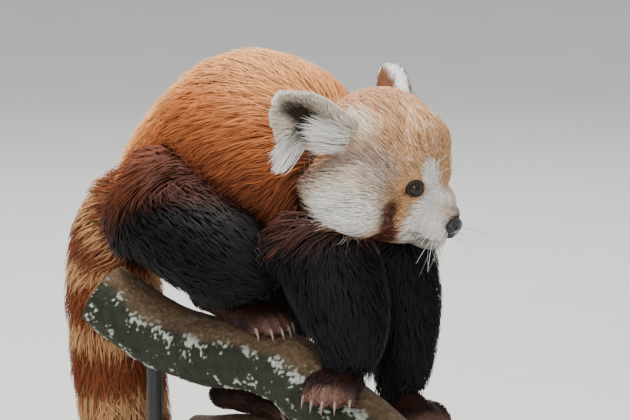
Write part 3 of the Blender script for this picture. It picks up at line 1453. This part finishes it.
def cut_wood_material():
    """Sawn wood: growth rings that wander a little, paler to the pith."""
    material, nodes, links = new_material("cut_wood")
    shader = nodes["Principled BSDF"]
    split = nodes.new("ShaderNodeSeparateColor")
    links.new(painted(nodes), split.inputs["Color"])
    wander = flecked(nodes, links, (255, 255, 255), 60.0, 0.0)
    phase = nodes.new("ShaderNodeMath")
    phase.operation = "MULTIPLY_ADD"
    phase.inputs[1].default_value = RING_WAVES
    links.new(split.outputs["Red"], phase.inputs[0])
    links.new(wander.outputs["Mask"], phase.inputs[2])
    wave = nodes.new("ShaderNodeMath")
    wave.operation = "SINE"
    links.new(phase.outputs[0], wave.inputs[0])
    share = nodes.new("ShaderNodeMapRange")
    share.inputs["From Min"].default_value = -1.0
    links.new(wave.outputs[0], share.inputs["Value"])
    rings = blended(nodes, links, share.outputs["Result"], SAWN_PALE, SAWN_DARK)
    flecks = flecked(nodes, links, rings, 500.0, 0.35)
    links.new(flecks.outputs["Color"], shader.inputs["Base Color"])
    shader.inputs["Roughness"].default_value = 0.8
    return material


def bark_material():
    """Moss-green bark, worn brown along the top, with pale lichen where the limb's own crusts are."""
    material, nodes, links = new_material("mossy_bark")
    shader = nodes["Principled BSDF"]
    split = nodes.new("ShaderNodeSeparateColor")
    links.new(painted(nodes), split.inputs["Color"])
    moss = flecked(nodes, links, MOSS, 140.0, 1.1)
    worn = flecked(nodes, links, WORN_BARK, 260.0, 0.8)
    lichen = flecked(nodes, links, LICHEN, 420.0, 0.6)
    bare = blended(nodes, links, split.outputs["Red"], moss.outputs["Color"], worn.outputs["Color"])
    crusted = blended(nodes, links, split.outputs["Green"], bare, lichen.outputs["Color"])
    links.new(crusted, shader.inputs["Base Color"])
    shader.inputs["Roughness"].default_value = 0.85
    raised(nodes, links, moss.outputs["Mask"], shader, 1.2)
    return material


def wood_material(name, pale, dark, scale, roughness, stretch=(1, 1, 1)):
    """Wood with rings or grain from a distorted wave."""
    material, nodes, links = new_material(name)
    shader = nodes["Principled BSDF"]
    where = nodes.new("ShaderNodeTexCoord")
    turn = nodes.new("ShaderNodeMapping")
    turn.inputs["Scale"].default_value = stretch
    links.new(where.outputs["Object"], turn.inputs["Vector"])
    wave = nodes.new("ShaderNodeTexWave")
    wave.wave_type = "BANDS"
    wave.bands_direction = "Y"
    wave.inputs["Scale"].default_value = scale
    wave.inputs["Distortion"].default_value = 6
    wave.inputs["Detail"].default_value = 4
    links.new(turn.outputs["Vector"], wave.inputs["Vector"])
    grain = blended(nodes, links, wave.outputs["Fac"], pale, dark)
    flecks = flecked(nodes, links, grain, 300.0, 0.25)
    links.new(flecks.outputs["Color"], shader.inputs["Base Color"])
    shader.inputs["Roughness"].default_value = roughness
    return material


# The whole model


def make_skin(materials):
    """One skin for the whole body under the coat, and what is known of each of its corners."""
    mesh = melted("skin", skin_shapes(), 1.9, 6)
    points, triangles = arrays_of(mesh)
    line = outside(HEAD, smooth_line(MOUTH, 6))
    MOUTH_LINE.extend(inside(HEAD, Ground(points, triangles).nearest(line)[0]))
    shape_face(points)
    ground = Ground(points, triangles)
    found = survey(ground)
    found["sizes"] = sizes_at(ground, found)
    colours = marked(points, found)
    mesh.vertices.foreach_set("co", metres(points).ravel())
    deep = np.interp(found["sizes"][:, 2], (1, 6), (0.95, 0.5))
    paint_points(mesh, colours * deep[:, None])
    mesh.shade_smooth()
    mesh.update()
    obj = placed("skin", mesh)
    nodes = ["torso", "neck", "head", "tail_root", "tail_middle", "tail_tip"]
    nodes += ["leg_fore_right", "leg_fore_left", "leg_hind_right", "leg_hind_left"]
    nodes += ["fore_paw_right", "fore_paw_left", "hind_foot_right", "hind_foot_left"]
    kept(obj, materials["skin"], "coat_rust", *nodes)
    return ground, found


MIDDLE_Y, FACE_FROM, FORE_FROM = 2, 22, 60  # where the pieces of the coat part


def make_coat(ground, found, materials):
    """The coat in pieces: back, tail, legs, head and face."""
    head, feet, kinds = found["head"], found["feet"], found["kinds"]
    own_x = inside(HEAD, ground.points)[:, 0]
    side_y = ground.points[:, 1]
    on_head = (head > 0.5).astype(float)
    on_face = on_head * (own_x > FACE_FROM)
    on_leg = (1 - on_head) * np.maximum(feet > 0.5, kinds[:, 2] > 0.5)
    on_tail = (1 - on_head) * (1 - on_leg) * (kinds[:, 1] > 0.5)
    on_back = (1 - on_head) * (1 - on_leg) * (1 - on_tail)
    right, left = side_y < MIDDLE_Y, side_y >= MIDDLE_Y
    fore = ground.points[:, 0] > FORE_FROM
    areas = {
        "back_right": ("back", on_back * right),
        "back_left": ("back", on_back * left),
        "tail_upper": ("tail", on_tail * (found["tail"] < 0.5)),
        "tail_lower": ("tail", on_tail * (found["tail"] >= 0.5)),
        "fore_legs": ("leg", on_leg * fore),
        "hind_legs": ("leg", on_leg * (1 - fore)),
        "head_right": ("head", (on_head - on_face) * right),
        "head_left": ("head", (on_head - on_face) * left),
        "face": ("face", on_face),
    }
    for seed, (piece, (name, keep)) in enumerate(areas.items()):
        obj = grown(ground, found, name, piece, keep, 100 + seed)
        kept(obj, materials["fur"], COATS[name]["slot"])


STAND_FINISHES = {"stand_base": "stand_wood", "stand_rod_front": "stand_metal", "stand_rod_rear": "stand_metal"}


def finish_stand(materials):
    """Gives the solid parts of the stand their own finishes."""
    for name, finish in STAND_FINISHES.items():
        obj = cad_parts[name]
        obj.data.materials.clear()
        obj.data.materials.append(materials[finish])


def set_the_stage(materials):
    """A plain pale floor, soft studio light and the camera."""
    bpy.ops.mesh.primitive_plane_add(size=24, location=(0, 0, 0))
    floor = bpy.context.object
    floor.name = "floor"
    floor.data.materials.append(materials["floor"])
    world = bpy.data.worlds.new("soft_room")
    world.use_nodes = True
    world.node_tree.nodes["Background"].inputs["Color"].default_value = (0.90, 0.94, 1.0, 1)
    world.node_tree.nodes["Background"].inputs["Strength"].default_value = 0.75
    bpy.context.scene.world = world
    lamps = [  # place, size, strength, colour
        ("overhead", (-0.4, -0.3, 2.2), 1.3, 78, (1.0, 0.98, 0.95)),
        ("front", (1.6, -2.2, 1.3), 1.4, 26, (1.0, 0.97, 0.93)),
        ("behind", (-1.2, 1.6, 1.5), 1.0, 22, (0.93, 0.96, 1.0)),
    ]
    for name, place, size, strength, colour in lamps:
        lamp = bpy.data.lights.new(name, "AREA")
        lamp.shape = "DISK"
        lamp.size = size
        lamp.energy = strength
        lamp.color = colour
        obj = placed(name, lamp)
        obj.location = place
        obj.rotation_euler = (Vector((0.05, 0, 0.3)) - Vector(place)).to_track_quat("-Z", "Y").to_euler()


# The camera: the photograph's angle, and the pixel at which the middle of the head lies in its frame.
LOOK_AZIMUTH, LOOK_ELEVATION, LOOK_FROM = 38.0, 10.0, 3.0
PIXELS_A_MM = 1.35
PICTURE = (630, 420)
HEAD_PIXEL = (385.9, 175.9)
SENSOR = 36.0


def set_camera():
    """A camera that sees the head at the same size and place as the photograph does."""
    azimuth, elevation = math.radians(LOOK_AZIMUTH), math.radians(LOOK_ELEVATION)
    level = math.cos(elevation)
    look = Vector((-math.sin(azimuth) * level, math.cos(azimuth) * level, -math.sin(elevation)))
    right = Vector((math.cos(azimuth), math.sin(azimuth), 0))
    up = right.cross(look)
    head = Vector(metres(HEAD_AT))
    off_x = (HEAD_PIXEL[0] - PICTURE[0] / 2) / PIXELS_A_MM * MM
    off_y = (HEAD_PIXEL[1] - PICTURE[1] / 2) / PIXELS_A_MM * MM
    camera = bpy.data.cameras.new("camera")
    camera.sensor_width = SENSOR
    camera.lens = PIXELS_A_MM / MM * LOOK_FROM / PICTURE[0] * SENSOR
    obj = placed("camera", camera)
    obj.location = head - look * LOOK_FROM - right * off_x + up * off_y
    obj.rotation_euler = look.to_track_quat("-Z", "Y").to_euler()
    bpy.context.scene.camera = obj


def main():
    """Makes every finish and every piece."""
    materials = {
        "skin": skin_material(),
        "fur": fur_material(),
        "eye": eye_material(),
        "lids": plain_material("lid_skin", (16, 12, 12), 0.35, 900.0, 0.4, 0.1),
        "nose": plain_material("nose_leather", (20, 19, 20), 0.32, 1100.0, 0.5, 0.25, 0.3),
        "claw": plain_material("claw_horn", (136, 118, 102), 0.4, 420.0, 0.6, 0.0, 0.2),
        "whisker": plain_material("whisker", (226, 222, 214), 0.4, 300.0, 0.2),
        "bark": bark_material(),
        "cut_wood": cut_wood_material(),
        "stand_wood": wood_material("dark_wood", (62, 38, 24), (40, 24, 15), 14.0, 0.38, (0.15, 1, 1)),
        "stand_metal": plain_material("black_metal", (26, 26, 27), 0.42, 500.0, 0.2, 0.02),
        "floor": plain_material("pale_floor", (214, 212, 206), 0.7, 8.0, 0.04),
    }
    ground, found = make_skin(materials)
    make_coat(ground, found, materials)
    for name in EARS:
        grow_ear(name, materials)
    for side, name in ((1, "eye_left"), (-1, "eye_right")):
        make_eye(side, name, materials["eye"])
        make_lids(side, name, materials["lids"])
    make_nose(materials["nose"])
    make_claws(materials["claw"])
    make_whiskers(materials["whisker"])
    make_limb("branch_near", LIMB_NEAR, KNOBS, 11, materials)
    make_limb("branch_far", LIMB_FAR, [], 41, materials)
    finish_stand(materials)
    set_the_stage(materials)
    set_camera()


main()
